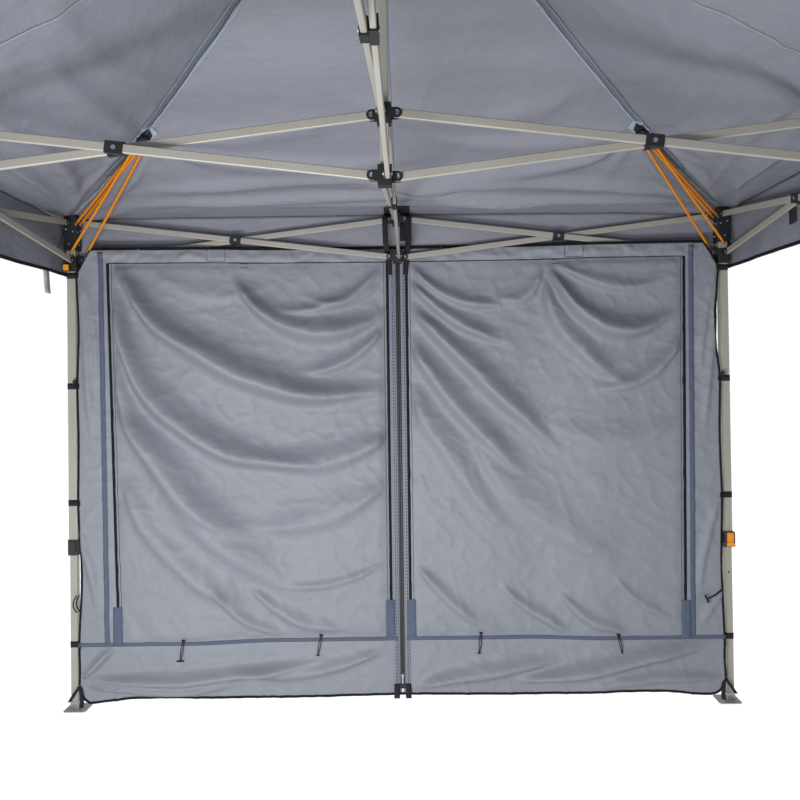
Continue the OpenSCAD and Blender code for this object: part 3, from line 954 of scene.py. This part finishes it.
def tube(bm, path, radius, segments=12):
    """A round tube along a path, built ring by ring and capped."""
    rings = []
    for i, point in enumerate(path):
        way = (path[min(i + 1, len(path) - 1)] - path[max(i - 1, 0)]).normalized()
        lean = way.to_track_quat("Z", "Y").to_matrix().to_4x4()
        made = bmesh.ops.create_circle(
            bm,
            segments=segments,
            radius=radius,
            matrix=Matrix.Translation(point) @ lean,
            cap_ends=i in (0, len(path) - 1),
        )
        rings.append(made["verts"])
    for a, b in zip(rings, rings[1:]):
        near = {e for v in a + b for e in v.link_edges}
        edges = [e for e in near if any(all(v in ring for v in e.verts) for ring in (a, b))]
        bmesh.ops.bridge_loops(bm, edges=edges)
    bmesh.ops.recalc_face_normals(bm, faces=bm.faces)


for k, corner in enumerate(CORNERS):
    body = f"{corner}_outer_leg"
    inwards, held_at = turn(k, (1, 1, -0.5)), turn(k, (LEG - 0.05, LEG - 0.05, TOP))
    hooks, loops = bmesh.new(), bmesh.new()
    routes = [
        (1.5, (LEG - 0.013, LEG - 0.070, LOW + 0.030)),
        (0.5, (LEG - 0.037, LEG - 0.052, TOP - 0.010)),
        (-0.5, (LEG - 0.052, LEG - 0.037, TOP - 0.010)),
        (-1.5, (LEG - 0.070, LEG - 0.023, LOW + 0.030)),
    ]
    for number, (place, foot) in enumerate(routes, 1):
        head = turn(k, (PATCH + 0.005 + place * SPREAD, PATCH + 0.005 - place * SPREAD, CORD_TOP))
        foot = turn(k, foot)
        path = [head.lerp(foot, t / 15) for t in range(16)]
        bm = bmesh.new()
        tube(bm, path, CORD / 2)
        cord = new_piece(f"{corner}_cord_{number}", bm, [cord_sock], body)
        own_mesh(cord)
        if k == 0 and number == 1:
            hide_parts("tension_cords")
        (foot - head).length
        [tuple(p) for p in path]
        way = (foot - head).normalized()
        tube(loops, [head - way * 0.002, head + way * 0.008], 0.0076)
        ring = []
        for a in [math.tau * i / 12 for i in range(12)]:
            round_foot = turn(k, (0.0055 * math.cos(a), 0.0055 * math.sin(a), 0.0))
            ring.append(foot + way * 0.006 + round_foot + Vector((0, 0, 0.006 * math.sin(a))))
        tube(hooks, ring, 0.0014, 8)
    knot = bmesh.ops.create_icosphere(loops, subdivisions=3, radius=1.0)["verts"]
    for v in knot:
        lump = 1 + 0.5 * noise.noise(v.co * 2.2 + Vector((k, 0, 0)))
        v.co = Vector((v.co.x * 0.027, v.co.y * 0.027, v.co.z * 0.014)) * lump
    bmesh.ops.translate(loops, verts=knot, vec=turn(k, (PATCH + 0.002, PATCH + 0.002, CORD_TOP + 0.010)))
    hook_piece = new_piece(f"{corner}_cord_hooks", hooks, [rivet_metal], body)
    loop_piece = new_piece(f"{corner}_cord_loops", loops, [webbing], body)
    for piece in (hook_piece, loop_piece):
        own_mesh(piece)


# ---- straps and ties ----
# Black webbing: bands that close round the legs and hold the wall's edges, two long straps at
# the middle bracket, loops that hold the wall's corners to the feet, and toggles for the doors.
def ribbon(bm, points, width, across, thickness=0.0014):
    """A flat strap along points, its width lying along the direction across."""
    points = [Vector(p) for p in points]
    across = Vector(across).normalized()
    run = len(points) - 1

    def lie(u, v):
        i = min(int(v * run), run - 1)
        share = v * run - i
        return points[i].lerp(points[i + 1], share) + across * (u - 0.5) * width

    lay_grid(bm, 2, run * 3, lie)


def band_round(bm, centre, size, height):
    """A strap closed round a square tube."""
    r = size / 2
    corners = [(r, r), (-r, r), (-r, -r), (r, -r), (r, r)]
    points = []
    for (x0, y0), (x1, y1) in zip(corners, corners[1:]):
        for t in (0.12, 0.5, 0.88):
            points.append((centre[0] + x0 + (x1 - x0) * t, centre[1] + y0 + (y1 - y0) * t, centre[2]))
    ribbon(bm, points + points[:1], height, (0, 0, 1))


TIED = 1
WEB = 0.0016
for side, corner in ((-1, "back_left"), (1, "back_right")):
    for index, height in enumerate(STRAP_HEIGHTS):
        on_inner = height < leg_low.z
        size = 0.0335 if on_inner else 0.0405
        tail_end = Vector((side * (edge_of_wall(side, height) - 0.012), wall_line(1.43) - 0.003, height))
        bm = bmesh.new()
        band_round(bm, (side * LEG, LEG, height), size, 0.027)
        near = Vector((side * (LEG - size / 2), LEG - size / 2 - 0.002, height))
        wrapped = near + Vector((side * 0.022, 0.001, 0))
        ribbon(bm, [wrapped, near, near.lerp(tail_end, 0.5), tail_end], 0.024, (0, 0, 1))
        if index == TIED:
            # this one is knotted, and its free end stands up
            free = near + Vector((side * 0.012, -0.004, 0))
            bend, tip = Vector((-side * 0.014, -0.016, 0.014)), Vector((-side * 0.020, -0.024, 0.030))
            ribbon(bm, [free, free + bend, free + tip], 0.02, (1, 0, 0.3))
            knot = bmesh.ops.create_icosphere(bm, subdivisions=2, radius=0.009)["verts"]
            seat = Matrix.Translation(free + Vector((0, -0.006, 0.002)))
            bmesh.ops.transform(bm, matrix=seat @ Matrix.Diagonal((1.3, 0.8, 0.8, 1)), verts=knot)
        body = f"{corner}_inner_leg" if on_inner else f"{corner}_outer_leg"
        new_piece(f"{corner}_strap_{index + 1}", bm, [webbing], body, WEB)

    # the corner of the wall is looped to the foot plate
    bm = bmesh.new()
    tie = Vector((side * 1.440, 1.437, 0.108))
    inside = Vector((side * (LEG - 0.046), LEG - 0.050, 0.014))
    outside = Vector((side * (LEG + 0.020), LEG - 0.024, 0.030))
    upper_bend = tie.lerp(inside, 0.35) + Vector((-side * 0.006, -0.006, 0))
    lower_bend = tie.lerp(inside, 0.75) + Vector((-side * 0.006, -0.008, 0))
    ribbon(bm, [tie, upper_bend, lower_bend, inside], 0.018, (side, -0.6, 0))
    ribbon(bm, [tie, tie.lerp(outside, 0.5) + Vector((0, -0.008, 0)), outside], 0.015, (side, -0.6, 0))
    new_piece(f"{corner}_corner_loop", bm, [webbing], f"{corner}_outer_leg", WEB)

    # the long strap at the middle bracket runs over the bars and down behind the lower bracket
    bm = bmesh.new()
    top = EAVE - 0.010
    front, back = LEG - 0.0245, LEG + 0.024
    x = side * 0.054
    route = [
        (x, HALF - 0.012, top),
        (x, front + 0.012, top - 0.004),
        (x, front, top - 0.022),
        (x * 0.95, front, LOW + 0.06),
        (x * 0.85, front + 0.006, LOW + 0.035),
        (x * 0.78, back, LOW + 0.012),
        (x * 0.74, back + 0.006, LOW - 0.022),
        (x * 0.66, back + 0.008, LOW - 0.078),
    ]
    ribbon(bm, route, 0.024, (1, 0, 0))
    name = "middle_strap_left" if side < 0 else "middle_strap_right"
    new_piece(name, bm, [webbing], "back_mid_bracket_top", WEB)



def strap_patch(u, v):
    """The square of webbing under the roof that the two long straps are sewn to."""
    return roof_point(1, 0.115 * (u - 0.5), HALF - 0.012 - 0.10 * v) - Vector((0, 0, 0.006))


bm = bmesh.new()
lay_grid(bm, 8, 4, strap_patch)
ribbon(bm, [(0.033, HALF - 0.016, EAVE - 0.012), (0.033, HALF - 0.020, EAVE - 0.125)], 0.042, (1, 0, 0))
new_piece("middle_strap_patch", bm, [webbing], "back_mid_bracket_top", WEB)

# toggles that hold the rolled doors, hanging below the skirt seam, and one at each side
TOGGLES = [(-0.978, -0.012), (-0.368, -0.015), (0.358, -0.010), (0.970, 0.016)]
for number, (x, lean) in enumerate(TOGGLES, 1):
    side = -1 if x < 0 else 1
    corner = "back_left" if x < 0 else "back_right"
    bm = bmesh.new()
    y = wall_line(x) - wall_fold(side, x, 0.25) - 0.008
    head, foot = Vector((x, y + 0.002, 0.298)), Vector((x + lean, y - 0.006, 0.212))
    for gap in (-0.003, 0.003):
        slack = head.lerp(foot, 0.5) + Vector((gap * 1.8, -0.005, 0))
        tube(bm, [head + Vector((gap, 0, 0)), slack, foot + Vector((gap * 0.3, 0, 0))], 0.0018, 8)
    tube(bm, [head + Vector((-0.008, 0, 0.004)), head + Vector((0.008, 0, 0.002))], 0.0035, 8)
    bar = 0.016 if number == 1 else 0.006
    tube(bm, [foot + Vector((-bar, 0, 0)), foot + Vector((bar, -0.002, 0.001))], 0.0034, 8)
    toggle = new_piece(f"door_toggle_{number}", bm, [webbing], f"{corner}_outer_leg")
    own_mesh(toggle)

bm = bmesh.new()
stem = [Vector((1.436, 1.434, 0.500)), Vector((1.40, 1.425, 0.478)), Vector((1.362, 1.418, 0.462))]
tube(bm, stem, 0.0042, 8)
tube(bm, [Vector((1.352, 1.418, 0.480)), Vector((1.366, 1.416, 0.446))], 0.0042, 8)
new_piece("edge_toggle_right", bm, [webbing], "back_right_outer_leg")
bm = bmesh.new()
loop = []
for t in [math.pi * i / 8 for i in range(9)]:
    out, drop = math.sin(t), 0.075 * t / math.pi
    loop.append(Vector((-1.438 - 0.012 * out, 1.436 - 0.01 * out, 0.512 - drop)))
tube(bm, loop, 0.003, 8)
tube(bm, [Vector((p.x * 0.998 - 0.012, p.y - 0.012, p.z)) for p in loop], 0.003, 8)
new_piece("edge_toggle_left", bm, [webbing], "back_left_outer_leg")

# two pegging tabs at the foot of the centre zip
for side, corner, name in ((-1, "back_left", "left"), (1, "back_right", "right")):
    bm = bmesh.new()
    y = wall_line(0) - 0.006
    upper_part = [(side * 0.025, y, 0.072), (side * 0.026, y - 0.004, 0.040)]
    lower_part = [(side * 0.026, y - 0.003, 0.020), (side * 0.027, y, 0.006)]
    ribbon(bm, upper_part + lower_part, 0.026, (1, 0, 0))
    tab = new_piece(f"pegging_tab_{name}", bm, [webbing], f"{corner}_outer_leg", 0.002)
    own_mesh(tab)

# a plain grey hanging tab on the left valance, and a square of hook tape inside the right one
bm = bmesh.new()
hanging = [(0.004, 1.305, 1.972), (0.010, 1.30, 1.93), (0.006, 1.312, 1.90), (0.012, 1.308, 1.852)]
ribbon(bm, [(-HALF + off, y, z) for off, y, z in hanging], 0.055, (0, 1, 0))
new_piece("valance_tab", bm, [grey_webbing], "left_bar_rising_2", 0.0012)
bm = bmesh.new()
ribbon(bm, [(HALF - 0.010, 0.870, z) for z in (2.092, 2.062, 2.030)], 0.052, (0, 1, 0))
new_piece("valance_hook_tape", bm, [webbing], "right_bar_rising_1", 0.0012)


# ---- bracket screws ----
# Each corner bracket is fixed to its leg by three small zinc screws on both inner faces.
def screw(bm, centre, outward, radius=0.0042):
    lean = outward.to_track_quat("Z", "Y").to_matrix().to_4x4()
    made = bmesh.ops.create_cone(
        bm,
        cap_ends=True,
        segments=16,
        radius1=radius,
        radius2=radius * 0.75,
        depth=0.002,
        matrix=Matrix.Translation(centre) @ lean,
    )
    faces = {f for v in made["verts"] for f in v.link_faces}
    cap = max(faces, key=lambda f: (f.calc_center_median() - centre).dot(outward))
    bmesh.ops.inset_individual(bm, faces=[cap], thickness=radius * 0.35, depth=-0.0008)


for k, corner in enumerate(CORNERS):
    bm = bmesh.new()
    face = LEG - CORNER_BRACKET / 2 - 0.001
    for height, along in ((TOP - 0.030, 0.016), (TOP - 0.040, -0.014), (TOP - 0.095, 0.004)):
        screw(bm, turn(k, (LEG + along, face, height)), turn(k, (0, -1, 0)))
        screw(bm, turn(k, (face, LEG + along, height)), turn(k, (-1, 0, 0)))
    new_piece(f"{corner}_bracket_screws", bm, [rivet_metal], f"{corner}_outer_leg", 0.0, False)


# ---- light and floor ----
# A white studio: a pale floor and a white surround, an even low light from all round, and soft
# lights at the open near side that pick out the folds of the wall and the roof.
world = bpy.data.worlds.new("studio")
scene.world = world
world.use_nodes = True
world.node_tree.nodes["Background"].inputs[0].default_value = (1, 1, 1, 1)
world.node_tree.nodes["Background"].inputs[1].default_value = 0.45
scene.view_settings.view_transform = "Standard"


def soft_light(name, place, aim, width, height, power):
    data = bpy.data.lights.new(name, "AREA")
    data.shape, data.size, data.size_y, data.energy = "RECTANGLE", width, height, power
    light = bpy.data.objects.new(name, data)
    light.visible_camera = False
    scene.collection.objects.link(light)
    way = Vector(aim) - Vector(place)
    light.matrix_world = Matrix.Translation(place) @ way.to_track_quat("-Z", "Y").to_matrix().to_4x4()
    return light


soft_light("wall_softbox", (-0.75, -1.2, 0.55), (0.2, 1.5, 1.45), 1.5, 0.3, 70)
roof_light = soft_light("roof_softbox", (-0.5, -3.6, 0.3), (0.0, 1.2, 2.5), 1.2, 0.5, 68)
lit = bpy.data.collections.new("lit_from_below")
for piece in scene.objects:
    if piece.name.startswith(("roof_", "valance_")) and piece.type == "MESH":
        lit.objects.link(piece)
roof_light.light_linking.receiver_collection = lit


def studio_piece(name, bm, glow, paleness):
    mesh = bpy.data.meshes.new(name)
    bm.to_mesh(mesh)
    bm.free()
    piece = bpy.data.objects.new(name, mesh)
    scene.collection.objects.link(piece)
    paint = Paint(name, 0.9)
    paint.set("Base Color", (paleness, paleness, paleness, 1))
    paint.set("Emission Color", (1, 1, 1, 1))
    paint.set("Emission Strength", glow)
    mesh.materials.append(paint.material)
    return piece


bm = bmesh.new()
bmesh.ops.create_circle(bm, cap_ends=True, radius=30, segments=64)
floor = studio_piece("floor", bm, 0.86, 0.5)
floor.location.z = -0.0005
floor.visible_diffuse = False
bm = bmesh.new()
bmesh.ops.create_icosphere(bm, subdivisions=4, radius=32)
surround = studio_piece("surround", bm, 1.0, 0.0)
surround.visible_diffuse = surround.visible_glossy = surround.visible_transmission = False
surround.visible_shadow = False
